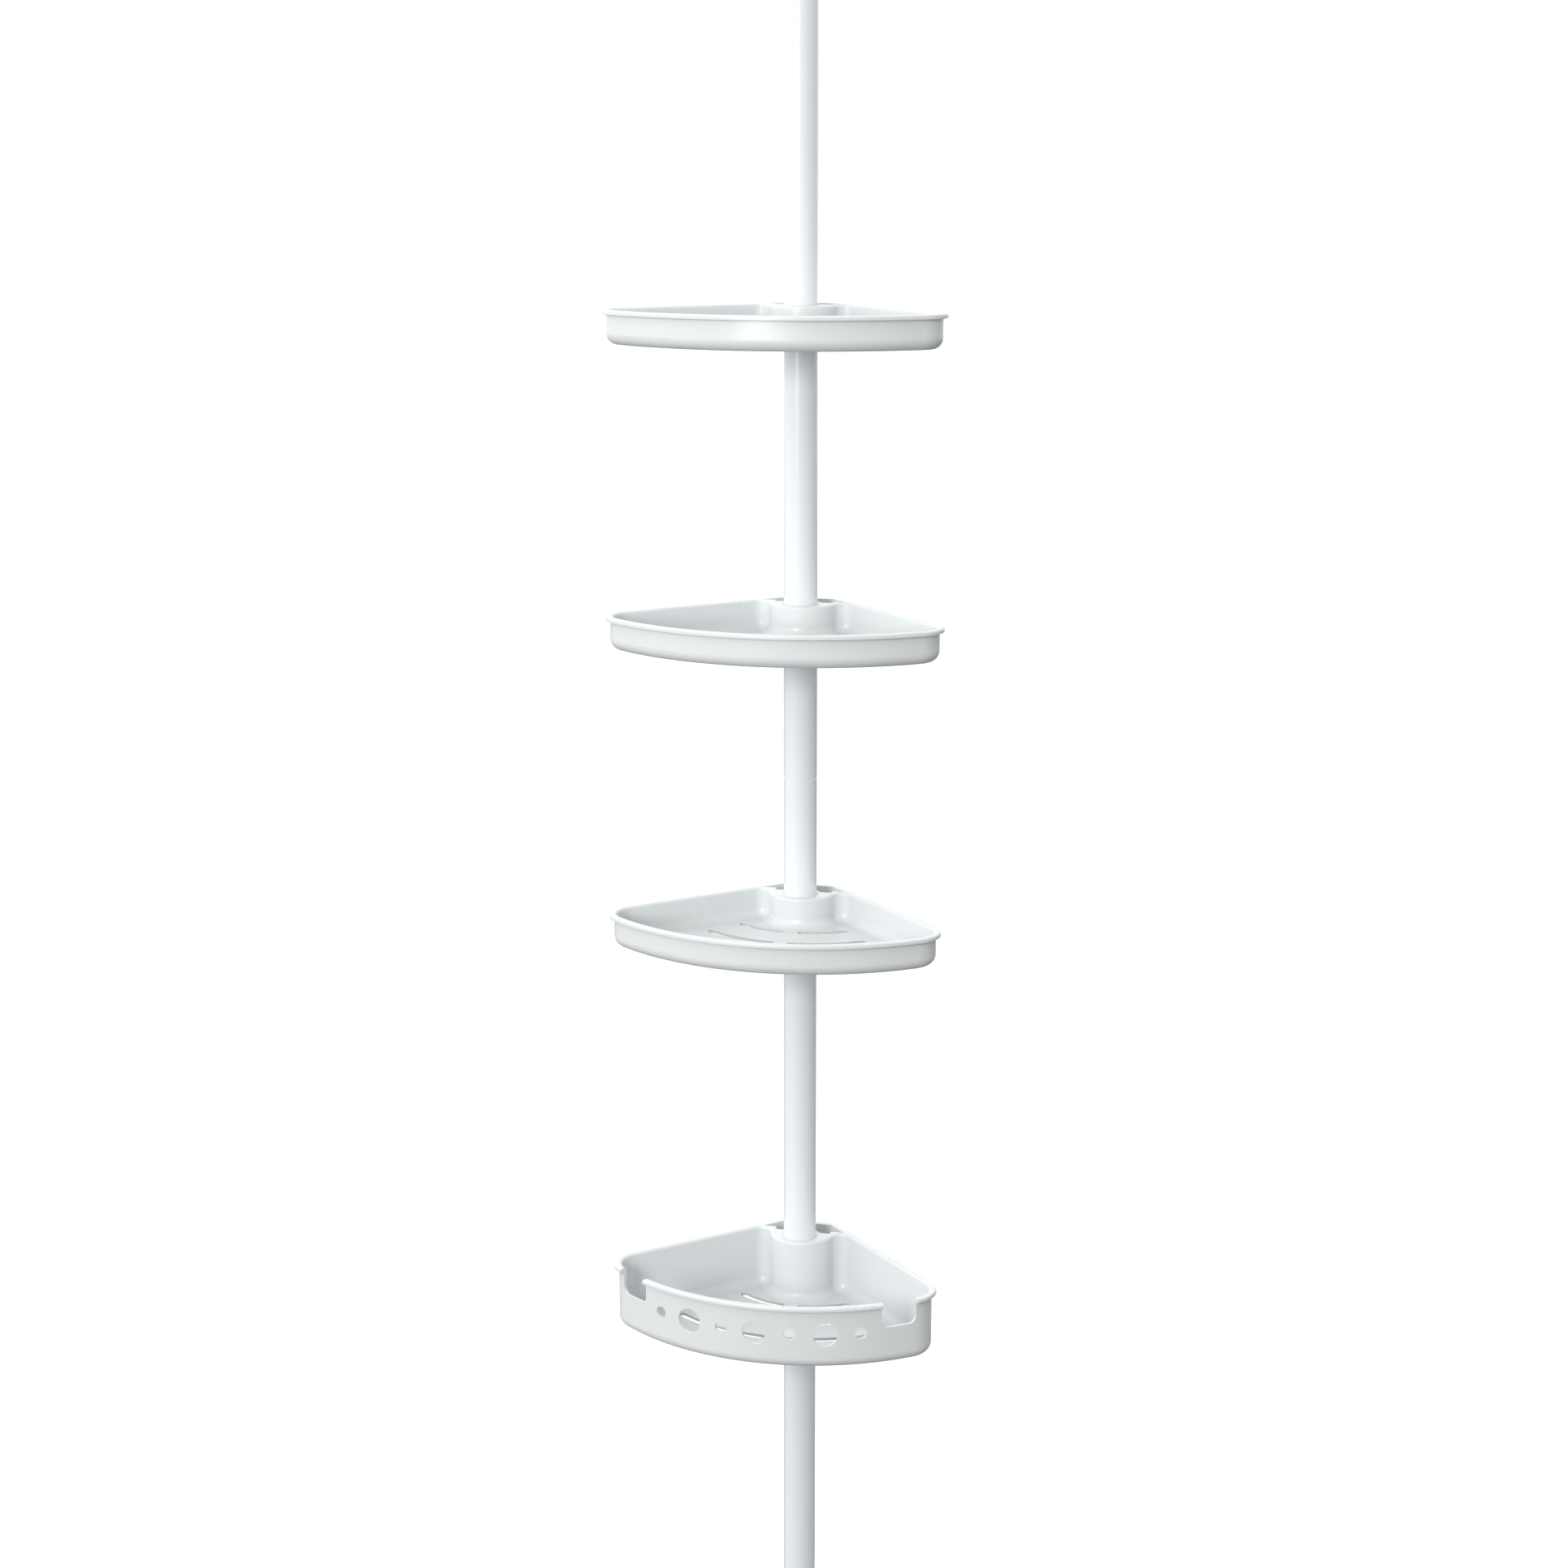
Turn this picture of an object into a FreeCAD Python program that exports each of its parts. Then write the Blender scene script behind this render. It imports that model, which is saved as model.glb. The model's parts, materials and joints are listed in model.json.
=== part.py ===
import FreeCAD, Part
import Sketcher
import math
import os

# Corner shower caddy on a floor-to-ceiling tension pole. Millimetres.
# Z runs up the pole axis, the room corner is towards +Y and the curved front of each tray
# faces -Y. The origin is the centre of the foot pad's underside.

doc = FreeCAD.newDocument("shower_caddy")
sheet = doc.addObject("Spreadsheet::Sheet", "dims")

SIZES = [
    # pole
    ("pole_outer", 25.4, "outside diameter of the pole sections"),
    ("pole_wall", 0.9, "wall of every tube"),
    ("section_length", 354, "visible length of one pole section"),
    ("spigot_length", 40, "swaged end that enters the section above"),
    ("joint_chamfer", 0.35, "edge break at each section joint"),
    ("fit_gap", 0.05, "radial clearance of close and running fits"),
    # foot
    ("pad_radius", 24, "rubber pad"),
    ("pad_height", 9, "rubber pad"),
    ("pad_skin", 4, "rubber under the socket"),
    ("pad_rim", 2.5, "rubber around the socket"),
    ("groove_depth", 1, "grip rings in a pad"),
    ("socket_height", 46, "foot socket above the floor"),
    ("socket_wall", 2.9, "wall at the socket's top"),
    ("seat_height", 12, "where the lowest section stands in the socket"),
    # tray and basket outlines, measured from the pole axis
    ("corner_reach", 54.6, "pole axis to the sharp room corner"),
    ("tray_reach", 198, "sharp room corner to the front of the lip"),
    ("front_radius", 184.4, "plan radius of the front"),
    ("corner_radius", 25, "plan radius of the two front corners"),
    ("back_flat", 33, "pole axis to the flat across the room corner"),
    ("lip_out", 3.5, "how far the lip stands out of the wall"),
    ("lip_thick", 3.4, "height of the lip"),
    ("lip_round", 1.5, "upper edge radius of the lip"),
    ("lip_break", 0.4, "lower edge radius of the lip"),
    ("rim_round", 2, "top inner edge radius of the walls"),
    ("wall_thick", 2.2, "walls"),
    ("floor_thick", 2.2, "floors"),
    ("base_round", 8, "outer radius between wall and floor"),
    ("floor_round", 7, "inner radius between wall and floor"),
    ("boss_wall", 1.6, "boss outside the thick end of a wedge sleeve"),
    ("boss_back", 8.8, "pole axis to the centre of the swelling's curve"),
    ("pocket_round", 8, "plan radius between the swelling and a side wall"),
    ("pocket_wall", 3, "wall between a pocket and the open well behind it"),
    ("tray_depth", 25, "shallow trays, lip top to underside"),
    ("basket_depth", 50, "bottom basket, lip top to underside"),
    ("basket_rim", 348, "height of the basket's lip above the floor"),
    ("low_rim", 628, "height of the low tray's lip"),
    ("mid_rim", 854, "height of the middle tray's lip"),
    ("high_rim", 1076, "height of the high tray's lip"),
    # drain slots
    ("slot_width", 6, "drain slots"),
    ("slot_first", 70, "plan radius of the rearmost row"),
    ("slot_pitch", 31, "distance between rows"),
    ("slot_bridge", 10, "solid web on the centre line"),
    ("slot_angle", 36, "half angle that a row covers"),
    # basket front
    ("large_hole", 19, "diameter"),
    ("small_hole", 9, "diameter"),
    ("hole_step", 8.5, "angle between neighbouring holes"),
    ("hole_drop", 22.5, "lip top to hole centres"),
    ("notch_angle", 35, "angle of each notch from the centre line"),
    ("notch_width", 27.5, "notch"),
    ("notch_depth", 20, "lip top to the bottom of a notch"),
    ("notch_round", 5.5, "lower corners of a notch"),
    # wedge sleeves
    ("sleeve_length", 29, "wedge sleeve"),
    ("sleeve_wall", 1.2, "wedge sleeve, thin end to pole surface"),
    ("sleeve_taper", 1, "growth in radius over the length of a sleeve"),
    ("sleeve_rise", 0.5, "how far a sleeve stands above the boss"),
    ("sleeve_split", 0.6, "gap between the two halves"),
    ("sleeve_rib", 0.6, "depth of the relief inside a half"),
    # telescopic top
    ("collar_grip", 30, "clamp body over the end of the highest section"),
    ("collar_wall", 3.5, "clamp body outside the pole"),
    ("finger_wall", 3, "slotted fingers"),
    ("collet_length", 38, "neck above the highest section"),
    ("collet_slit", 2, "gap between fingers"),
    ("ring_wall", 4.5, "twist ring outside the fingers"),
    ("ring_height", 40, "twist ring"),
    ("ring_flute", 2.2, "radius of each grip flute"),
    ("inner_gap", 0.8, "gap between the telescopic tube and the section around it"),
    ("inner_length", 450, "telescopic tube"),
    ("inner_overlap", 128, "telescopic tube inside the highest section"),
    ("glide_head", 10, "glide plug below the telescopic tube"),
    ("plug_stem", 20, "length of a plug inside a tube"),
    ("stroke", 25, "travel of the spring top"),
    ("spring_length", 60, "spring as installed"),
    ("spring_inset", 2.5, "tube bore to the middle of the spring wire"),
    ("spring_wire", 1.8, "wire diameter"),
    ("spring_turns", 9, "turns"),
    ("stem_inset", 1.5, "tube bore to the plunger's stem"),
    ("stop_length", 14, "stop bush in the mouth of the telescopic tube"),
    ("stop_rim", 2, "rim of the stop bush"),
    ("flange_height", 10, "plunger flange under the stop bush"),
    ("cap_height", 9, "head of the top socket"),
    ("skirt_lap", 10, "skirt over the tube mouth at rest"),
    ("skirt_wall", 4.1, "skirt"),
]

for row, (alias, size, note) in enumerate(SIZES, start=1):
    sheet.set("A%d" % row, alias)
    sheet.set("B%d" % row, str(size))
    sheet.set("C%d" % row, note)
    sheet.setAlias("B%d" % row, alias)
doc.recompute()


def expand(expression):
    """Turn a short expression such as 'pole_outer/2' into one that names the sheet."""
    text = str(expression)
    for alias in sorted((item[0] for item in SIZES), key=len, reverse=True):
        text = text.replace(alias, "@%d@" % NUMBER[alias])
    for alias, number in NUMBER.items():
        text = text.replace("@%d@" % number, "dims." + alias)
    return text


NUMBER = {item[0]: count for count, item in enumerate(SIZES)}

# radii that follow the pole, so that one size carries its fits with it
SLEEVE_THIN = "(pole_outer/2+sleeve_wall)"
SLEEVE_THICK = "(pole_outer/2+sleeve_wall+sleeve_taper)"
BOSS = "(pole_outer/2+sleeve_wall+sleeve_taper+boss_wall)"
SOCKET_NECK = "(pole_outer/2+socket_wall)"
COLLAR = "(pole_outer/2+collar_wall)"
INNER = "(pole_outer/2-pole_wall-inner_gap)"
INNER_BORE = "(pole_outer/2-2*pole_wall-inner_gap)"
FINGERS = "(pole_outer/2-pole_wall-inner_gap+finger_wall)"
RING = "(pole_outer/2-pole_wall-inner_gap+finger_wall+ring_wall)"
COIL = "(pole_outer/2-2*pole_wall-inner_gap-spring_inset)"
STEM = "(pole_outer/2-2*pole_wall-inner_gap-stem_inset)"
SKIRT = "(pole_outer/2-pole_wall-inner_gap+0.5+skirt_wall)"


def value(expression):
    return float(sheet.evalExpression(expand(expression)))


bodies = []


def new_body(name, height="0", turn=0.0):
    """A body placed at a height on the pole axis and turned about it."""
    body = doc.addObject("PartDesign::Body", name)
    body.Label = name
    body.Placement = FreeCAD.Placement(
        FreeCAD.Vector(0, 0, value(height)),
        FreeCAD.Rotation(FreeCAD.Vector(0, 0, 1), turn),
    )
    body.setExpression("Placement.Base.z", expand(height))
    bodies.append(body)
    return body


def new_sketch(body, name, role, height="0"):
    """A sketch on one of the body's own origin planes, lifted along its normal."""
    sketch = body.newObject("Sketcher::SketchObject", body.Name + "_" + name)
    plane = [item for item in body.Origin.OriginFeatures if item.Role == role][0]
    sketch.AttachmentSupport = [(plane, "")]
    sketch.MapMode = "FlatFace"
    sketch.AttachmentOffset = FreeCAD.Placement(
        FreeCAD.Vector(0, 0, value(height)), FreeCAD.Rotation()
    )
    sketch.setExpression("AttachmentOffset.Base.z", expand(height))
    return sketch


def drive(sketch, constraint, expression):
    """Add a dimension that follows the sheet."""
    index = sketch.addConstraint(constraint)
    sketch.setExpression("Constraints[%d]" % index, expand(expression))


def pin_point(sketch, geometry, end, x, y):
    """Hold a point at expressions x and y from the sketch origin."""
    for axis, kind, expression in ((-2, "DistanceX", x), (-1, "DistanceY", y)):
        amount = value(expression)
        if abs(amount) < 1e-9:
            sketch.addConstraint(Sketcher.Constraint("PointOnObject", geometry, end, axis))
        else:
            drive(sketch, Sketcher.Constraint(kind, -1, 1, geometry, end, amount), expression)


def polygon(sketch, points):
    """A closed outline of straight lines through (x, y) expressions."""
    corners = [FreeCAD.Vector(value(x), value(y), 0) for x, y in points]
    count = len(corners)
    first = sketch.GeometryCount
    for index in range(count):
        sketch.addGeometry(Part.LineSegment(corners[index], corners[(index + 1) % count]))
    for index in range(count):
        following = first + (index + 1) % count
        sketch.addConstraint(Sketcher.Constraint("Coincident", first + index, 2, following, 1))
    for index, (x, y) in enumerate(points):
        pin_point(sketch, first + index, 1, x, y)


def revolve(body, name, points, angle=360.0, cut=False):
    """Turn a profile of (radius, height) expressions about the pole axis."""
    sketch = new_sketch(body, name, "XZ_Plane")
    polygon(sketch, points)
    kind = "PartDesign::Groove" if cut else "PartDesign::Revolution"
    feature = body.newObject(kind, body.Name + "_" + name + "_turn")
    feature.Profile = sketch
    feature.ReferenceAxis = (sketch, ["V_Axis"])
    feature.Angle = angle
    return feature


def extrude(body, sketch, name, length, cut=False, backwards=False):
    kind = "PartDesign::Pocket" if cut else "PartDesign::Pad"
    feature = body.newObject(kind, body.Name + "_" + name)
    feature.Profile = sketch
    feature.Length = value(length)
    feature.setExpression("Length", expand(length))
    feature.Reversed = backwards
    doc.recompute()
    return feature


def pick_edges(shape, wanted):
    return ["Edge%d" % (index + 1) for index, edge in enumerate(shape.Edges) if wanted(edge)]


def at_height(edge, height):
    low = edge.BoundBox.ZMin
    high = edge.BoundBox.ZMax
    return abs(low - height) < 1e-4 and abs(high - height) < 1e-4


def round_edges(body, name, base, wanted, radius):
    edges = pick_edges(base.Shape, wanted)
    if not edges:
        raise RuntimeError("no edge found for " + name)
    feature = body.newObject("PartDesign::Fillet", body.Name + "_" + name)
    feature.Base = (base, edges)
    feature.Radius = value(radius)
    feature.setExpression("Radius", expand(radius))
    doc.recompute()
    return feature


# ---------------------------------------------------------------- pads and sockets

def make_pad(name, height, turned_over):
    """Rubber cup that grips the floor or the ceiling."""
    body = new_body(name, height)
    sign = "-1" if turned_over else "1"
    revolve(body, "cup", [
        ("0", "0"),
        ("pad_radius-1", "0"),
        ("pad_radius", sign + "*1"),
        ("pad_radius", sign + "*(pad_height-0.8)"),
        ("pad_radius-0.8", sign + "*pad_height"),
        ("pad_radius-pad_rim", sign + "*pad_height"),
        ("pad_radius-pad_rim", sign + "*pad_skin"),
        ("0", sign + "*pad_skin"),
    ])
    for ring, radius in enumerate(("pad_radius*0.38", "pad_radius*0.56", "pad_radius*0.74")):
        revolve(body, "grip%d" % ring, [
            (radius + "-1", "0"),
            (radius, sign + "*groove_depth"),
            (radius + "+1", "0"),
        ], cut=True)
    return body


make_pad("foot_pad", "0", False)

foot = new_body("foot_socket", "pad_skin")
revolve(foot, "cup", [
    ("0", "0"),
    ("pad_radius-pad_rim-fit_gap", "0"),
    ("pad_radius-pad_rim-fit_gap", "pad_height-pad_skin"),
    ("pad_radius-pad_rim-1.5", "pad_height-pad_skin+1.5"),
    (SOCKET_NECK + "+2", "pad_height-pad_skin+9"),
    (SOCKET_NECK, "socket_height-pad_skin-10"),
    (SOCKET_NECK, "socket_height-pad_skin-1"),
    (SOCKET_NECK + "-1", "socket_height-pad_skin"),
    ("pole_outer/2+fit_gap", "socket_height-pad_skin"),
    ("pole_outer/2+fit_gap", "seat_height-pad_skin"),
    ("0", "seat_height-pad_skin"),
])

# ---------------------------------------------------------------- pole sections

SECTIONS = ["lower_tube", "lower_middle_tube", "upper_middle_tube", "upper_tube"]

for step, name in enumerate(SECTIONS):
    tube = new_body(name, "seat_height+%d*section_length" % step)
    profile = [
        ("pole_outer/2-pole_wall", "0"),
        ("pole_outer/2-joint_chamfer", "0"),
        ("pole_outer/2", "joint_chamfer"),
        ("pole_outer/2", "section_length-joint_chamfer"),
        ("pole_outer/2-joint_chamfer", "section_length"),
    ]
    if step < len(SECTIONS) - 1:
        profile += [
            ("pole_outer/2-pole_wall-fit_gap", "section_length"),
            ("pole_outer/2-pole_wall-fit_gap", "section_length+spigot_length-1.5"),
            ("pole_outer/2-pole_wall-fit_gap-0.5", "section_length+spigot_length"),
            ("pole_outer/2-2*pole_wall-fit_gap", "section_length+spigot_length"),
            ("pole_outer/2-2*pole_wall-fit_gap", "section_length-2"),
            ("pole_outer/2-pole_wall", "section_length-6"),
        ]
    else:
        profile += [("pole_outer/2-pole_wall", "section_length")]
    revolve(tube, "wall", profile)

# ---------------------------------------------------------------- telescopic clamp

POLE_TOP = "seat_height+%d*section_length" % len(SECTIONS)

collet = new_body("collet", POLE_TOP)
revolve(collet, "clamp", [
    (INNER + "+fit_gap", "collet_length"),
    (INNER + "+fit_gap", "0"),
    ("pole_outer/2+fit_gap", "0"),
    ("pole_outer/2+fit_gap", "-collar_grip"),
    (COLLAR + "-2", "-collar_grip"),
    (COLLAR, "-collar_grip+3"),
    (COLLAR, "3"),
    (FINGERS, "3"),
    (FINGERS, "collet_length-2"),
    (FINGERS + "-1", "collet_length"),
])
slit = new_sketch(collet, "slit", "XZ_Plane")
polygon(slit, [
    ("-collet_slit/2", "12"),
    ("collet_slit/2", "12"),
    ("collet_slit/2", "collet_length+1"),
    ("-collet_slit/2", "collet_length+1"),
])
slit_cut = extrude(collet, slit, "slit_cut", FINGERS + "+2", cut=True, backwards=True)
slits = collet.newObject("PartDesign::PolarPattern", "collet_slits")
slits.Originals = [slit_cut]
slits.Axis = ([item for item in collet.Origin.OriginFeatures if item.Role == "Z_Axis"][0], [""])
slits.Angle = 360.0
slits.Occurrences = 4
collet.Tip = slits

ring = new_body("twist_ring", POLE_TOP)
revolve(ring, "sleeve", [
    (FINGERS + "+fit_gap", "3.3"),
    (RING + "-1", "3.3"),
    (RING, "4.3"),
    (RING, "ring_height-4"),
    (RING + "-3", "ring_height+2.3"),
    (INNER + "+0.4", "ring_height+2.3"),
    (INNER + "+0.4", "collet_length+0.4"),
    (FINGERS + "+fit_gap", "collet_length+0.4"),
])
flute = new_sketch(ring, "flute", "XY_Plane", "8")
flute.addGeometry(Part.Circle(
    FreeCAD.Vector(value(RING + "+ring_flute*0.45"), 0, 0),
    FreeCAD.Vector(0, 0, 1), value("ring_flute")))
drive(flute, Sketcher.Constraint("Radius", 0, value("ring_flute")), "ring_flute")
pin_point(flute, 0, 3, RING + "+ring_flute*0.45", "0")
flute_cut = extrude(ring, flute, "flute_cut", "ring_height-17", cut=True, backwards=True)
flutes = ring.newObject("PartDesign::PolarPattern", "ring_flutes")
flutes.Originals = [flute_cut]
flutes.Axis = ([item for item in ring.Origin.OriginFeatures if item.Role == "Z_Axis"][0], [""])
flutes.Angle = 360.0
flutes.Occurrences = 16
ring.Tip = flutes

INNER_BASE = POLE_TOP + "-inner_overlap"

inner = new_body("telescopic_tube", INNER_BASE)
revolve(inner, "wall", [
    (INNER_BORE, "0"),
    (INNER, "0"),
    (INNER, "inner_length"),
    (INNER_BORE, "inner_length"),
])

glide = new_body("glide_plug", INNER_BASE)
revolve(glide, "plug", [
    (INNER + "-4", "-glide_head"),
    ("pole_outer/2-pole_wall-fit_gap-0.8", "-glide_head"),
    ("pole_outer/2-pole_wall-fit_gap", "-glide_head+0.8"),
    ("pole_outer/2-pole_wall-fit_gap", "-0.8"),
    ("pole_outer/2-pole_wall-fit_gap-0.8", "0"),
    (INNER_BORE + "-fit_gap", "0"),
    (INNER_BORE + "-fit_gap", "plug_stem"),
    (INNER + "-4", "plug_stem"),
])

# ---------------------------------------------------------------- spring top

MOUTH = INNER_BASE + "+inner_length"
STOP_UNDER = "(" + MOUTH + "-stop_length)"
SPRING_BASE = STOP_UNDER + "-flange_height-spring_length"

seat = new_body("spring_seat", SPRING_BASE)
revolve(seat, "plug", [
    ("3", "-plug_stem"),
    (INNER_BORE + "-fit_gap", "-plug_stem"),
    (INNER_BORE + "-fit_gap", "0"),
    (COIL + "-spring_wire/2-0.5", "0"),
    (COIL + "-spring_wire/2-1.3", "5"),
    ("3", "5"),
])

spring = new_body("tension_spring", SPRING_BASE)
wire = new_sketch(spring, "wire", "XZ_Plane")
wire.addGeometry(Part.Circle(
    FreeCAD.Vector(value(COIL), value("spring_wire/2"), 0),
    FreeCAD.Vector(0, 0, 1), value("spring_wire/2")))
drive(wire, Sketcher.Constraint("Radius", 0, value("spring_wire/2")), "spring_wire/2")
pin_point(wire, 0, 3, COIL, "spring_wire/2")
helix = spring.newObject("PartDesign::AdditiveHelix", "spring_helix")
helix.Profile = wire
helix.ReferenceAxis = (wire, ["V_Axis"])
helix.Mode = "height-turns-angle"
helix.setExpression("Height", expand("spring_length-spring_wire"))
helix.setExpression("Turns", expand("spring_turns"))

bush = new_body("stop_bush", MOUTH)
revolve(bush, "bush", [
    (STEM + "+fit_gap", "-stop_length"),
    (INNER_BORE + "-fit_gap", "-stop_length"),
    (INNER_BORE + "-fit_gap", "0"),
    (INNER, "0"),
    (INNER, "stop_rim-0.5"),
    (INNER + "-0.5", "stop_rim"),
    (STEM + "+fit_gap", "stop_rim"),
])

# heights of the top socket are counted from the tube mouth
HEAD_UNDER = "stop_rim+stroke+1"
top = new_body("top_socket", MOUTH)
revolve(top, "plunger", [
    ("4", "-stop_length-flange_height"),
    (INNER_BORE + "-fit_gap-0.5", "-stop_length-flange_height"),
    (INNER_BORE + "-fit_gap", "-stop_length-flange_height+0.5"),
    (INNER_BORE + "-fit_gap", "-stop_length"),
    (STEM, "-stop_length"),
    (STEM, HEAD_UNDER),
    (INNER + "+0.5", HEAD_UNDER),
    (INNER + "+0.5", "-skirt_lap"),
    (SKIRT + "-1", "-skirt_lap"),
    (SKIRT, "-skirt_lap+1"),
    (SKIRT, HEAD_UNDER + "-6"),
    ("pad_radius-pad_rim-1.5", HEAD_UNDER + "+cap_height-pad_height+pad_skin-1.5"),
    ("pad_radius-pad_rim-fit_gap", HEAD_UNDER + "+cap_height-pad_height+pad_skin"),
    ("pad_radius-pad_rim-fit_gap", HEAD_UNDER + "+cap_height"),
    ("4", HEAD_UNDER + "+cap_height"),
])

make_pad("top_pad", MOUTH + "+" + HEAD_UNDER + "+cap_height+pad_skin", True)

# ---------------------------------------------------------------- trays and basket

HALF = math.sqrt(0.5)
ROOT_TWO = "1.41421356"
ARC_CENTRE = "corner_reach-tray_reach+front_radius"
WALL_IN = "lip_out+wall_thick"
SIDE_IN = "(corner_reach-(" + WALL_IN + ")*" + ROOT_TWO + ")"

# the inner wall swells forward around the pole: one wide curve, a pocket curve at each end
SWELL = "(" + BOSS + "+boss_back)"
POCKET_SUM = "(" + SIDE_IN + "-pocket_round*" + ROOT_TWO + ")"
POCKET_RISE = "(" + POCKET_SUM + "-boss_back)"
POCKET_X = (
    "((" + POCKET_RISE + "+sqrt(2*(" + SWELL + "+pocket_round)^2-" + POCKET_RISE + "^2))/2)"
)
POCKET_Y = "(" + POCKET_SUM + "-" + POCKET_X + ")"


def corner_numbers(inset):
    """Plan numbers of the outline moved inwards by an inset."""
    side = value("corner_reach-(" + inset + ")*" + ROOT_TWO)
    front = value("front_radius-(" + inset + ")")
    corner = value("corner_radius-(" + inset + ")")
    centre = value(ARC_CENTRE)
    shift = side - corner / HALF - centre
    reach = front - corner
    x = (2 * shift + math.sqrt(4 * shift ** 2 - 8 * (shift ** 2 - reach ** 2))) / 4
    y = side - x - corner / HALF
    return side, front, corner, centre, x, y


def front_run(sketch, inset, back_points):
    """Side line, corner, front, corner, side line. back_points are the ends of the side lines."""
    side, front, corner, centre, x, y = corner_numbers(inset)
    meet = math.atan2(y - centre, x)
    axis = FreeCAD.Vector(0, 0, 1)
    right = FreeCAD.Vector(x + corner * HALF, y + corner * HALF, 0)
    left = FreeCAD.Vector(-right.x, right.y, 0)
    disc_right = Part.Circle(FreeCAD.Vector(x, y, 0), axis, corner)
    disc_left = Part.Circle(FreeCAD.Vector(-x, y, 0), axis, corner)
    disc_front = Part.Circle(FreeCAD.Vector(0, centre, 0), axis, front)
    sketch.addGeometry(Part.LineSegment(back_points[0], right))
    sketch.addGeometry(Part.ArcOfCircle(disc_right, meet, math.pi / 4))
    sketch.addGeometry(Part.ArcOfCircle(disc_front, -math.pi - meet, meet))
    sketch.addGeometry(Part.ArcOfCircle(disc_left, 3 * math.pi / 4, math.pi - meet))
    sketch.addGeometry(Part.LineSegment(left, back_points[1]))
    for one, one_end, two, two_end in ((0, 2, 1, 2), (1, 1, 2, 2), (2, 1, 3, 2), (3, 1, 4, 1)):
        sketch.addConstraint(Sketcher.Constraint("Tangent", one, one_end, two, two_end))
    sketch.addConstraint(Sketcher.Constraint("Perpendicular", 0, 4))
    sketch.addConstraint(Sketcher.Constraint("Symmetric", 1, 3, 3, 3, -2))
    sketch.addConstraint(Sketcher.Constraint("PointOnObject", 2, 3, -2))
    drive(sketch, Sketcher.Constraint("DistanceY", -1, 1, 2, 3, centre), ARC_CENTRE)
    drive(sketch, Sketcher.Constraint("Radius", 2, front), "front_radius-(" + inset + ")")
    drive(sketch, Sketcher.Constraint("Radius", 1, corner), "corner_radius-(" + inset + ")")


def outline(body, name, height, inset):
    """Outer plan shape: a quarter-round tray with its room corner cut flat."""
    sketch = new_sketch(body, name, "XY_Plane", height)
    back = "back_flat-(" + inset + ")"
    side = "corner_reach-(" + inset + ")*" + ROOT_TWO
    half_back = "(" + side + ")-(" + back + ")"
    right = FreeCAD.Vector(value(half_back), value(back), 0)
    left = FreeCAD.Vector(-right.x, right.y, 0)
    front_run(sketch, inset, (right, left))
    sketch.addGeometry(Part.LineSegment(left, right))
    sketch.addConstraint(Sketcher.Constraint("Coincident", 4, 2, 5, 1))
    sketch.addConstraint(Sketcher.Constraint("Coincident", 5, 2, 0, 1))
    sketch.addConstraint(Sketcher.Constraint("Symmetric", 5, 1, 5, 2, -2))
    pin_point(sketch, 5, 2, half_back, back)
    return sketch


def cavity(body, name, height):
    """Inner plan shape: the walls and the inner wall that swells around the pole."""
    sketch = new_sketch(body, name, "XY_Plane", height)
    back = value("boss_back")
    pocket = value("pocket_round")
    x = value(POCKET_X)
    y = value(POCKET_Y)
    slope = math.atan2(back - y, x)
    right = FreeCAD.Vector(x + pocket * HALF, y + pocket * HALF, 0)
    left = FreeCAD.Vector(-right.x, right.y, 0)
    front_run(sketch, WALL_IN, (right, left))
    axis = FreeCAD.Vector(0, 0, 1)
    pocket_left = Part.Circle(FreeCAD.Vector(-x, y, 0), axis, pocket)
    pocket_right = Part.Circle(FreeCAD.Vector(x, y, 0), axis, pocket)
    swelling = Part.Circle(FreeCAD.Vector(0, back, 0), axis, value(SWELL))
    sketch.addGeometry(Part.ArcOfCircle(pocket_left, slope, 3 * math.pi / 4))
    sketch.addGeometry(Part.ArcOfCircle(swelling, math.pi + slope, 2 * math.pi - slope))
    sketch.addGeometry(Part.ArcOfCircle(pocket_right, math.pi / 4, math.pi - slope))
    for one, one_end, two, two_end in ((4, 2, 5, 2), (5, 1, 6, 1), (6, 2, 7, 2), (7, 1, 0, 1)):
        sketch.addConstraint(Sketcher.Constraint("Tangent", one, one_end, two, two_end))
    sketch.addConstraint(Sketcher.Constraint("PointOnObject", 6, 3, -2))
    drive(sketch, Sketcher.Constraint("DistanceY", -1, 1, 6, 3, back), "boss_back")
    drive(sketch, Sketcher.Constraint("Radius", 6, value(SWELL)), SWELL)
    offset = SIDE_IN + "/" + ROOT_TWO
    for index in (5, 7):
        drive(sketch, Sketcher.Constraint("Radius", index, pocket), "pocket_round")
    for index in (0, 4):
        drive(sketch, Sketcher.Constraint("Distance", -1, 1, index, value(offset)), offset)
    return sketch


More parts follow.
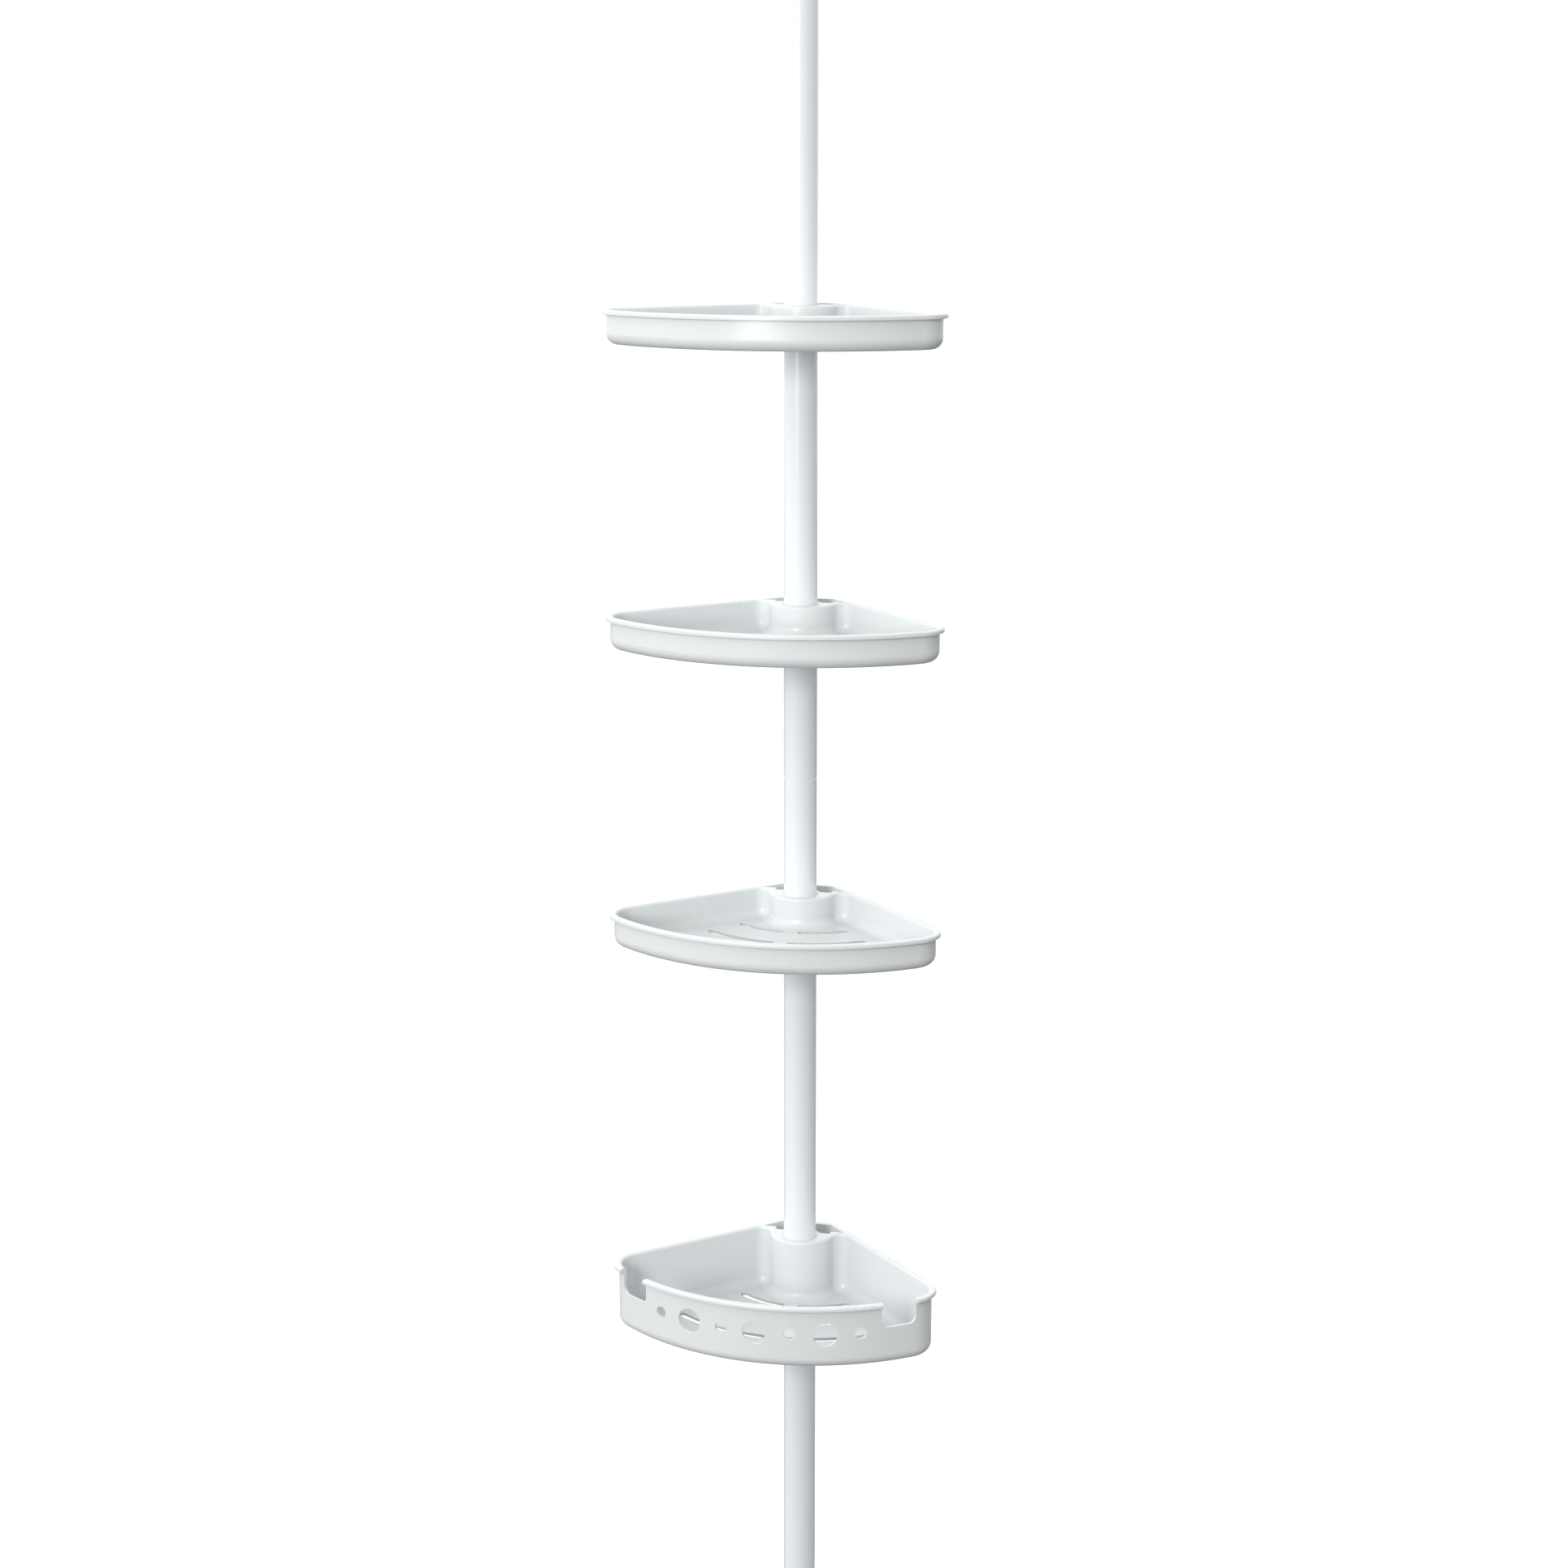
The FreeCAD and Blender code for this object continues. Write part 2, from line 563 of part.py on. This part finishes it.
def well(body, name, height):
    """Plan shape of the open well between the inner wall, the boss and the room corner."""
    sketch = new_sketch(body, name, "XY_Plane", height)
    front = "boss_back"
    step_x = "(" + SWELL + "-pocket_wall)"
    step_y = "(" + POCKET_Y + "+pocket_round+pocket_wall)"
    back = "(back_flat-(" + WALL_IN + "))"
    right_side = [
        (step_x, front),
        (step_x, step_y),
        (SIDE_IN + "-" + step_y, step_y),
        (SIDE_IN + "-" + back, back),
    ]
    corners = [("-(" + x + ")", y) for x, y in right_side] + right_side[::-1]
    radius = value(BOSS)
    tilt = math.asin(value(front) / radius)
    near = radius * math.cos(tilt)
    spots = [FreeCAD.Vector(value(x), value(y), 0) for x, y in corners]
    spots = [FreeCAD.Vector(-near, value(front), 0)] + spots
    spots.append(FreeCAD.Vector(near, value(front), 0))
    last = len(spots) - 1
    for index in range(last):
        sketch.addGeometry(Part.LineSegment(spots[index], spots[index + 1]))
    disc = Part.Circle(FreeCAD.Vector(0, 0, 0), FreeCAD.Vector(0, 0, 1), radius)
    sketch.addGeometry(Part.ArcOfCircle(disc, tilt, math.pi - tilt))
    for index in range(last):
        sketch.addConstraint(Sketcher.Constraint("Coincident", index, 2, index + 1, 1))
    sketch.addConstraint(Sketcher.Constraint("Coincident", last, 2, 0, 1))
    sketch.addConstraint(Sketcher.Constraint("Coincident", last, 3, -1, 1))
    drive(sketch, Sketcher.Constraint("Radius", last, radius), BOSS)
    sketch.addConstraint(Sketcher.Constraint("Horizontal", 0))
    sketch.addConstraint(Sketcher.Constraint("Horizontal", last - 1))
    for index, (x, y) in enumerate(corners):
        pin_point(sketch, index + 1, 1, x, y)
    return sketch


def slot(sketch, radius, start, end):
    """A curved drain slot about the front's centre, between two x positions."""
    centre = value(ARC_CENTRE)
    middle = value(radius)
    half = value("slot_width") / 2
    begin = math.asin(value(start) / middle)
    finish = math.asin(value(end) / middle)
    axis = FreeCAD.Vector(0, 0, 1)
    hub = FreeCAD.Vector(0, centre, 0)
    first = sketch.GeometryCount
    low = begin - math.pi / 2
    high = finish - math.pi / 2
    sketch.addGeometry(Part.ArcOfCircle(Part.Circle(hub, axis, middle + half), low, high))
    sketch.addGeometry(Part.ArcOfCircle(Part.Circle(hub, axis, middle - half), low, high))
    for angle, turn in ((high, 0.0), (low, math.pi)):
        spot = FreeCAD.Vector(middle * math.cos(angle), centre + middle * math.sin(angle), 0)
        circle = Part.Circle(spot, axis, half)
        sketch.addGeometry(Part.ArcOfCircle(circle, angle + turn, angle + turn + math.pi))
    outer, inner_arc, far, near = first, first + 1, first + 2, first + 3
    sketch.addConstraint(Sketcher.Constraint("Tangent", outer, 2, far, 1))
    sketch.addConstraint(Sketcher.Constraint("Tangent", inner_arc, 2, far, 2))
    sketch.addConstraint(Sketcher.Constraint("Tangent", inner_arc, 1, near, 1))
    sketch.addConstraint(Sketcher.Constraint("Tangent", outer, 1, near, 2))
    sketch.addConstraint(Sketcher.Constraint("Coincident", outer, 3, inner_arc, 3))
    sketch.addConstraint(Sketcher.Constraint("PointOnObject", outer, 3, -2))
    drive(sketch, Sketcher.Constraint("DistanceY", -1, 1, outer, 3, centre), ARC_CENTRE)
    drive(sketch, Sketcher.Constraint("Radius", outer, middle + half), radius + "+slot_width/2")
    drive(sketch, Sketcher.Constraint("Radius", inner_arc, middle - half), radius + "-slot_width/2")
    drive(sketch, Sketcher.Constraint("DistanceX", -1, 1, near, 3, value(start)), start)
    drive(sketch, Sketcher.Constraint("DistanceX", -1, 1, far, 3, value(end)), end)


def wall_sketch(body, name, angle):
    """A sketch square to the front wall, at an angle from the centre line, just inside it."""
    sketch = new_sketch(body, name, "XZ_Plane")
    reach = "(front_radius-20)"
    across = reach + "*sin(" + angle + ")"
    ahead = reach + "*cos(" + angle + ")-(" + ARC_CENTRE + ")"
    sketch.setExpression("AttachmentOffset.Base.z", None)
    sketch.setExpression("AttachmentOffset", expand(
        "create(<<placement>>; create(<<vector>>; " + across + "; 0; " + ahead + ");"
        " create(<<rotation>>; create(<<vector>>; 0; 1; 0); " + angle + "))"
    ))
    return sketch


def wall_hole(body, name, angle, diameter):
    sketch = wall_sketch(body, name, angle)
    spot = FreeCAD.Vector(0, value("-hole_drop"), 0)
    sketch.addGeometry(Part.Circle(spot, FreeCAD.Vector(0, 0, 1), value(diameter) / 2))
    drive(sketch, Sketcher.Constraint("Radius", 0, value(diameter) / 2), diameter + "/2")
    pin_point(sketch, 0, 3, "0", "-hole_drop")
    return extrude(body, sketch, name + "_cut", "40", cut=True, backwards=True)


def wall_notch(body, name, angle):
    sketch = wall_sketch(body, name, angle)
    polygon(sketch, [
        ("-notch_width/2", "2"),
        ("-notch_width/2", "-notch_depth"),
        ("notch_width/2", "-notch_depth"),
        ("notch_width/2", "2"),
    ])
    return extrude(body, sketch, name + "_cut", "40", cut=True, backwards=True)


def make_tray(name, rim, depth, basket):
    """A tray with its lip top at local height 0 and the pole axis at the local origin."""
    body = new_body(name, rim)
    under = "-" + depth
    floor = under + "+floor_thick"

    extrude(body, outline(body, "shell", under, "lip_out"), "shell_pad", depth)
    lip = extrude(body, outline(body, "lip", "-lip_thick", "0"), "lip_pad", "lip_thick")
    def outside(edge):
        """True for the edges of the lip's own outline."""
        middle = edge.valueAt((edge.FirstParameter + edge.LastParameter) / 2)
        side, front, corner, centre, x, y = corner_numbers("lip_out*0.5")
        beyond_side = abs(middle.x) + middle.y > side
        beyond_front = math.hypot(middle.x, middle.y - centre) > front
        beyond_back = middle.y > value("back_flat-lip_out*0.5")
        corner_gap = math.hypot(abs(middle.x) - x, middle.y - y) > corner
        return beyond_side or beyond_front or beyond_back or (corner_gap and abs(middle.x) > x)

    def on_lip(height):
        return lambda edge: at_height(edge, value(height)) and outside(edge)

    lip = round_edges(body, "lip_round", lip, on_lip("0"), "lip_round")
    round_edges(body, "lip_break", lip, on_lip("-lip_thick"), "lip_break")

    hollow = extrude(
        body, cavity(body, "cavity", "0"), "cavity_cut", depth + "-floor_thick", cut=True
    )
    level = value(floor)
    hollow = round_edges(
        body, "floor_round", hollow, lambda edge: at_height(edge, level), "floor_round"
    )
    hollow = round_edges(
        body, "rim_round", hollow, lambda edge: at_height(edge, 0) and not outside(edge), "rim_round"
    )
    low = value(under)
    round_edges(body, "base_round", hollow, lambda edge: at_height(edge, low), "base_round")
    extrude(body, well(body, "well", "0"), "well_cut", depth + "-base_round", cut=True)

    # conical seat for the wedge sleeve, then a plain bore down to the underside
    thin = SLEEVE_THIN + "+fit_gap"
    thick = SLEEVE_THICK + "+fit_gap"
    end = "sleeve_rise-sleeve_length"
    revolve(body, "seat", [
        ("0", "5"),
        (thin, "5"),
        (thin, "sleeve_rise"),
        (thick, end),
        (SLEEVE_THICK + "+0.3", end),
        (SLEEVE_THICK + "+0.3", under + "-5"),
        ("0", under + "-5"),
    ], cut=True)

    drains = new_sketch(body, "drains", "XY_Plane", floor + "+1")
    for number in range(3):
        radius = "(slot_first+%d*slot_pitch)" % number
        slot(drains, radius, "slot_bridge/2+slot_width/2", radius + "*sin(slot_angle)")
    drain_cut = extrude(body, drains, "drain_cut", "floor_thick+3", cut=True)
    mirror = body.newObject("PartDesign::Mirrored", body.Name + "_drain_mirror")
    mirror.Originals = [drain_cut]
    plane = [item for item in body.Origin.OriginFeatures if item.Role == "YZ_Plane"][0]
    mirror.MirrorPlane = (plane, [""])
    body.Tip = mirror
    doc.recompute()

    if basket:
        for number in range(-3, 4):
            size = "small_hole" if number % 2 else "large_hole"
            wall_hole(body, "hole_%d" % (number + 3), "(%d*hole_step)" % number, size)
        notch = None
        for number, angle in enumerate(("(-1*notch_angle)", "notch_angle")):
            notch = wall_notch(body, "notch_%d" % number, angle)

        def notch_edge(edge):
            """Edges along the wall's thickness at the lower corners of a notch."""
            box = edge.BoundBox
            across = math.hypot(box.XLength, box.YLength)
            level_edge = at_height(edge, value("-notch_depth"))
            return level_edge and abs(across - value("wall_thick")) < 0.6

        round_edges(body, "notch_round", notch, notch_edge, "notch_round")
    return body


make_tray("basket", "basket_rim", "basket_depth", True)
make_tray("tray_low", "low_rim", "tray_depth", False)
make_tray("tray_mid", "mid_rim", "tray_depth", False)
make_tray("tray_high", "high_rim", "tray_depth", False)

# ---------------------------------------------------------------- wedge sleeves

for name, rim in (
    ("basket", "basket_rim"),
    ("low", "low_rim"),
    ("mid", "mid_rim"),
    ("high", "high_rim"),
):
    for side, turn in (("front", 0.0), ("rear", 180.0)):
        half = new_body("sleeve_" + name + "_" + side, rim + "+sleeve_rise", turn)
        bore = "pole_outer/2+fit_gap"
        shell = revolve(half, "shell", [
            (bore, "0"),
            (SLEEVE_THIN + "-0.4", "0"),
            (SLEEVE_THIN + "+0.4*(" + SLEEVE_THICK + "-" + SLEEVE_THIN + ")/sleeve_length", "-0.4"),
            (SLEEVE_THICK, "-sleeve_length"),
            (bore, "-sleeve_length"),
            (bore, "-sleeve_length*0.8"),
            (bore + "+sleeve_rib", "-sleeve_length*0.8+0.6"),
            (bore + "+sleeve_rib", "-sleeve_length*0.2-0.6"),
            (bore, "-sleeve_length*0.2"),
        ])
        split = new_sketch(half, "split", "XY_Plane", "1")
        polygon(split, [
            ("-" + SLEEVE_THICK + "-2", "-sleeve_split/2"),
            (SLEEVE_THICK + "+2", "-sleeve_split/2"),
            (SLEEVE_THICK + "+2", SLEEVE_THICK + "+2"),
            ("-" + SLEEVE_THICK + "-2", SLEEVE_THICK + "+2"),
        ])
        extrude(half, split, "split_cut", "sleeve_length+2", cut=True)

doc.recompute()

# ---------------------------------------------------------------- check and export

faults = []
for item in doc.Objects:
    if any(word in item.State for word in ("Invalid", "Error")):
        faults.append(item.Name + " is in error")
for body in bodies:
    if body.Shape.isNull() or not body.Shape.isValid():
        faults.append(body.Label + " has no valid shape")
    elif len(body.Shape.Solids) != 1:
        faults.append(body.Label + " is not one solid")
if faults:
    raise RuntimeError("; ".join(faults))

os.makedirs("parts", exist_ok=True)
for body in bodies:
    body.Shape.exportStep("parts/" + body.Label + ".step")
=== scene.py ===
import bpy
import json
import math
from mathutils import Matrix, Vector


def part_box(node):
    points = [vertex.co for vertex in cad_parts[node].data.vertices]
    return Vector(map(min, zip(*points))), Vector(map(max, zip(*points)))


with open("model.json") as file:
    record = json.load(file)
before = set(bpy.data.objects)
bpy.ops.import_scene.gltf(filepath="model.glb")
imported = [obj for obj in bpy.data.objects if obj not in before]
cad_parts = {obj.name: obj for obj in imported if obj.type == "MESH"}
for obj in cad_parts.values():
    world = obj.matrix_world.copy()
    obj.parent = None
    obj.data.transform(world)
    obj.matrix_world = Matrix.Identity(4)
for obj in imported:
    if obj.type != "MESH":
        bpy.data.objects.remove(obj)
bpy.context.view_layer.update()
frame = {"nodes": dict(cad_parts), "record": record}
NODES = frame["nodes"]


# ------------------------------------------------------------------ node helpers

class Graph:
    """A small wrapper for building one material's node tree."""

    def __init__(self, name):
        self.material = bpy.data.materials.new(name)
        self.material.use_nodes = True
        self.nodes = self.material.node_tree.nodes
        self.links = self.material.node_tree.links
        self.shader = self.nodes["Principled BSDF"]
        self.place = self.add("ShaderNodeTexCoord").outputs["Object"]

    def add(self, kind, **inputs):
        node = self.nodes.new(kind)
        for key, value in inputs.items():
            node.inputs[key].default_value = value
        return node

    def noise(self, scale, detail=3.0, roughness=0.5, stretch=None):
        """Noise in object space. A stretch below 1 on an axis draws the pattern out along it."""
        node = self.add("ShaderNodeTexNoise", Scale=scale, Detail=detail, Roughness=roughness)
        source = self.place
        if stretch:
            mapping = self.add("ShaderNodeMapping", Scale=stretch)
            self.links.new(self.place, mapping.inputs["Vector"])
            source = mapping.outputs["Vector"]
        self.links.new(source, node.inputs["Vector"])
        return node.outputs["Fac"]

    def spread(self, value, low, high, start=0.3, end=0.7):
        """Maps start..end, about where noise values lie, onto low..high."""
        node = self.add("ShaderNodeMapRange")
        node.inputs["From Min"].default_value = start
        node.inputs["From Max"].default_value = end
        node.inputs["To Min"].default_value = low
        node.inputs["To Max"].default_value = high
        self.links.new(value, node.inputs["Value"])
        return node.outputs["Result"]

    def blend(self, value, first, second):
        """Mixes two colours. The Mix node has sockets of the same name for each data type."""
        node = self.add("ShaderNodeMix")
        node.data_type = "RGBA"
        ends = {"A": first, "B": second}
        for socket in node.inputs:
            if socket.type == "RGBA":
                socket.default_value = (*ends[socket.name], 1)
        self.links.new(value, node.inputs["Factor"])
        return [out for out in node.outputs if out.type == "RGBA"][0]

    def bump(self, value, strength, distance, after=None):
        node = self.add("ShaderNodeBump", Strength=strength, Distance=distance)
        self.links.new(value, node.inputs["Height"])
        if after is not None:
            self.links.new(after, node.inputs["Normal"])
        return node.outputs["Normal"]

    def set(self, socket, value):
        self.shader.inputs[socket].default_value = value

    def join(self, output, socket):
        self.links.new(output, self.shader.inputs[socket])


# ------------------------------------------------------------------ materials

WARM_CAST = (0.985, 0.982, 0.972)
COOL_CAST = 0.985
PLASTIC_IOR = 1.49
PEEL_DEPTH = 0.00012
GRAIN_DEPTH = 0.0001
RUBBER_DEPTH = 0.00015
FLOOR_DEPTH = 0.0002
DRAWN_LONG = (1.0, 1.0, 0.12)
DRAWN_LONGER = (1.0, 1.0, 0.08)
DRAWN_LONGEST = (1.0, 1.0, 0.02)


def moulded_white(name, tint, low, high, peel):
    """Injection-moulded plastic: faint mottling, a satin-to-gloss drift and a fine orange peel."""
    g = Graph(name)
    broad = g.noise(9.0, 4.0, 0.55)
    fine = g.noise(260.0, 3.0, 0.6)
    warm = tuple(channel * cast for channel, cast in zip(tint, WARM_CAST))
    g.join(g.blend(broad, warm, tint), "Base Color")
    smudge = g.noise(34.0, 2.0, 0.5, (1.0, 1.0, 0.35))
    g.join(g.spread(smudge, low, high, 0.15, 0.85), "Roughness")
    g.join(g.bump(fine, peel, PEEL_DEPTH), "Normal")
    g.set("IOR", PLASTIC_IOR)
    return g.material


def painted_tube(name, tint):
    """Gloss powder coat on steel tube: orange peel, faint draw lines along the pole."""
    g = Graph(name)
    drift = g.noise(14.0, 3.0, 0.5, DRAWN_LONG)
    cool = tuple(channel * COOL_CAST for channel in tint)
    g.join(g.blend(drift, cool, tint), "Base Color")
    g.join(g.spread(g.noise(60.0, 4.0, 0.6, DRAWN_LONGER), 0.17, 0.27), "Roughness")
    peel = g.bump(g.noise(420.0, 2.0, 0.5), 0.16, GRAIN_DEPTH)
    lines = g.bump(g.noise(180.0, 2.0, 0.5, DRAWN_LONGEST), 0.06, GRAIN_DEPTH, peel)
    g.join(lines, "Normal")
    g.set("Coat Weight", 0.35)
    g.set("Coat Roughness", 0.08)
    return g.material


def drawn_wire(name):
    """Bright spring wire with fine streaks."""
    g = Graph(name)
    g.join(g.blend(g.noise(120.0, 4.0, 0.6), (0.50, 0.51, 0.53), (0.66, 0.66, 0.67)), "Base Color")
    g.join(g.spread(g.noise(700.0, 3.0, 0.5, (1.0, 1.0, 0.1)), 0.22, 0.42), "Roughness")
    g.join(g.bump(g.noise(900.0, 2.0, 0.5), 0.12, GRAIN_DEPTH), "Normal")
    g.set("Metallic", 1.0)
    return g.material


def soft_rubber(name):
    """Grey rubber, dull and finely grained."""
    g = Graph(name)
    g.join(g.blend(g.noise(40.0, 5.0, 0.6), (0.50, 0.52, 0.53), (0.60, 0.62, 0.63)), "Base Color")
    g.join(g.spread(g.noise(150.0, 4.0, 0.6), 0.62, 0.82), "Roughness")
    g.join(g.bump(g.noise(800.0, 3.0, 0.6), 0.3, RUBBER_DEPTH), "Normal")
    return g.material


FINISH = {
    "white_plastic": moulded_white("white_plastic", (0.655, 0.68, 0.69), 0.24, 0.38, 0.12),
    "sleeve_plastic": moulded_white("sleeve_plastic", (0.66, 0.68, 0.68), 0.40, 0.55, 0.2),
    "plain_plastic": moulded_white("plain_plastic", (0.58, 0.60, 0.60), 0.45, 0.6, 0.25),
    "white_paint": painted_tube("white_paint", (0.745, 0.775, 0.79)),
    "spring_steel": drawn_wire("spring_steel"),
    "rubber": soft_rubber("rubber"),
}
SLOT_OF = {item["node"]: item["material_slot"] for item in frame["record"]["subparts"]}

for name, node in NODES.items():
    node.data.materials.clear()
    node.data.materials.append(FINISH[SLOT_OF[name]])


# ------------------------------------------------------------------ floor

FLOOR_REACH = 30.0


def pale_floor():
    """A wide pale floor that neither lights the object nor shows in its gloss."""
    g = Graph("floor")
    g.join(g.blend(g.noise(3.0, 3.0, 0.5), (0.94, 0.94, 0.94), (0.96, 0.96, 0.96)), "Base Color")
    g.join(g.spread(g.noise(20.0, 3.0, 0.5), 0.75, 0.85), "Roughness")
    g.join(g.bump(g.noise(300.0, 2.0, 0.5), 0.05, FLOOR_DEPTH), "Normal")
    mesh = bpy.data.meshes.new("floor")
    corners = [(x * FLOOR_REACH, y * FLOOR_REACH, 0) for x, y in ((-1, -1), (1, -1), (1, 1), (-1, 1))]
    mesh.from_pydata(corners, [], [(0, 1, 2, 3)])
    mesh.materials.append(g.material)
    floor = bpy.data.objects.new("floor", mesh)
    floor.visible_diffuse = False
    floor.visible_glossy = False
    bpy.context.scene.collection.objects.link(floor)


pale_floor()


# ------------------------------------------------------------------ directions

AZIMUTH = math.radians(14.37)
PITCH = math.radians(12.73)
UP = Vector((0, 0, 1))
forward = Vector((-math.sin(AZIMUTH), math.cos(AZIMUTH), 0))
across = Vector((math.cos(AZIMUTH), math.sin(AZIMUTH), 0))


# ------------------------------------------------------------------ light

# strength of the dome below the horizon, at it and overhead, then on its bright and dim sides
DOME_BELOW = 0.2
DOME_HORIZON = 1.2
DOME_TOP = 1.15
DOME_BRIGHT = 1.3
DOME_DIM = 0.55
# stretches over which those strengths change: two of a direction's height, one of how far it
# points towards the dim side
BELOW_BAND = (-0.15, -0.06)
HEIGHT_BAND = (0.0, 1.0)
SIDE_BAND = (-0.3, 0.9)
DIM_RIGHT = 0.55
DIM_NEAR = 0.83
# strength that the camera itself sees behind the object
BACKDROP = 1.0


def studio_dome():
    """A soft white room, dim below the horizon and near the camera's right.

    The camera itself sees an even white wall.
    """
    world = bpy.data.worlds.new("studio")
    world.use_nodes = True
    tree = world.node_tree
    background = tree.nodes["Background"]
    background.inputs["Color"].default_value = (1.0, 1.0, 1.0, 1.0)
    direction = tree.nodes.new("ShaderNodeTexCoord").outputs["Generated"]
    split = tree.nodes.new("ShaderNodeSeparateXYZ")
    tree.links.new(direction, split.inputs["Vector"])
    dim_side = (across * DIM_RIGHT - forward * DIM_NEAR).normalized()
    dot = tree.nodes.new("ShaderNodeVectorMath")
    dot.operation = "DOT_PRODUCT"
    dot.inputs[1].default_value = dim_side
    tree.links.new(direction, dot.inputs[0])
    parts = []
    for source, limits in (
        (split.outputs["Z"], (*BELOW_BAND, DOME_BELOW, 1.0)),
        (split.outputs["Z"], (*HEIGHT_BAND, DOME_HORIZON, DOME_TOP)),
        (dot.outputs["Value"], (*SIDE_BAND, DOME_BRIGHT, DOME_DIM)),
    ):
        ramp = tree.nodes.new("ShaderNodeMapRange")
        for socket, number in zip(("From Min", "From Max", "To Min", "To Max"), limits):
            ramp.inputs[socket].default_value = number
        tree.links.new(source, ramp.inputs["Value"])
        parts.append(ramp.outputs["Result"])
    strength = parts[0]
    for part in parts[1:]:
        product = tree.nodes.new("ShaderNodeMath")
        product.operation = "MULTIPLY"
        tree.links.new(strength, product.inputs[0])
        tree.links.new(part, product.inputs[1])
        strength = product.outputs["Value"]
    seen = tree.nodes.new("ShaderNodeMix")
    seen.data_type = "FLOAT"
    seen.inputs["B"].default_value = BACKDROP
    camera_ray = tree.nodes.new("ShaderNodeLightPath").outputs["Is Camera Ray"]
    tree.links.new(camera_ray, seen.inputs["Factor"])
    tree.links.new(strength, seen.inputs["A"])
    tree.links.new(seen.outputs["Result"], background.inputs["Strength"])
    bpy.context.scene.world = world


studio_dome()

# key light at the camera's left, above the trays, so that the basket gets less of it
KEY_DISTANCE = 2.6
KEY_BACK = KEY_DISTANCE * 0.9
KEY_LEFT = KEY_DISTANCE * 0.42
KEY_HEIGHT = 1.35
KEY_AIM_HEIGHT = 0.95
KEY_SIDE = 0.7
KEY_WATTS = 40.0


def key_light():
    """A square softbox aimed at the pole between the two upper trays."""
    data = bpy.data.lights.new("key", "AREA")
    data.shape = "RECTANGLE"
    data.size = KEY_SIDE
    data.size_y = KEY_SIDE
    data.energy = KEY_WATTS
    lamp = bpy.data.objects.new("key", data)
    lamp.location = -forward * KEY_BACK - across * KEY_LEFT + UP * KEY_HEIGHT
    direction = UP * KEY_AIM_HEIGHT - lamp.location
    lamp.rotation_mode = "QUATERNION"
    lamp.rotation_quaternion = direction.to_track_quat("-Z", "Y")
    bpy.context.scene.collection.objects.link(lamp)


key_light()


# ------------------------------------------------------------------ camera

BASKET_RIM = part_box("basket")[1].z
ABOVE_RIM = 0.8379
DISTANCE = 2.08557
SIDEWAYS = 0.01243
SENSOR = 36.0
LENS = 64.2596


def photo_camera():
    """The photograph's viewpoint: the front, a little to the right, looking down on the trays."""
    data = bpy.data.cameras.new("camera")
    data.sensor_width = SENSOR
    data.lens = LENS
    camera = bpy.data.objects.new("camera", data)
    camera.location = -forward * DISTANCE - across * SIDEWAYS + UP * (BASKET_RIM + ABOVE_RIM)
    look = forward * math.cos(PITCH) - UP * math.sin(PITCH)
    camera.rotation_mode = "QUATERNION"
    camera.rotation_quaternion = look.to_track_quat("-Z", "Y")
    bpy.context.scene.collection.objects.link(camera)
    bpy.context.scene.camera = camera


photo_camera()
bpy.context.scene.view_settings.view_transform = "Standard"
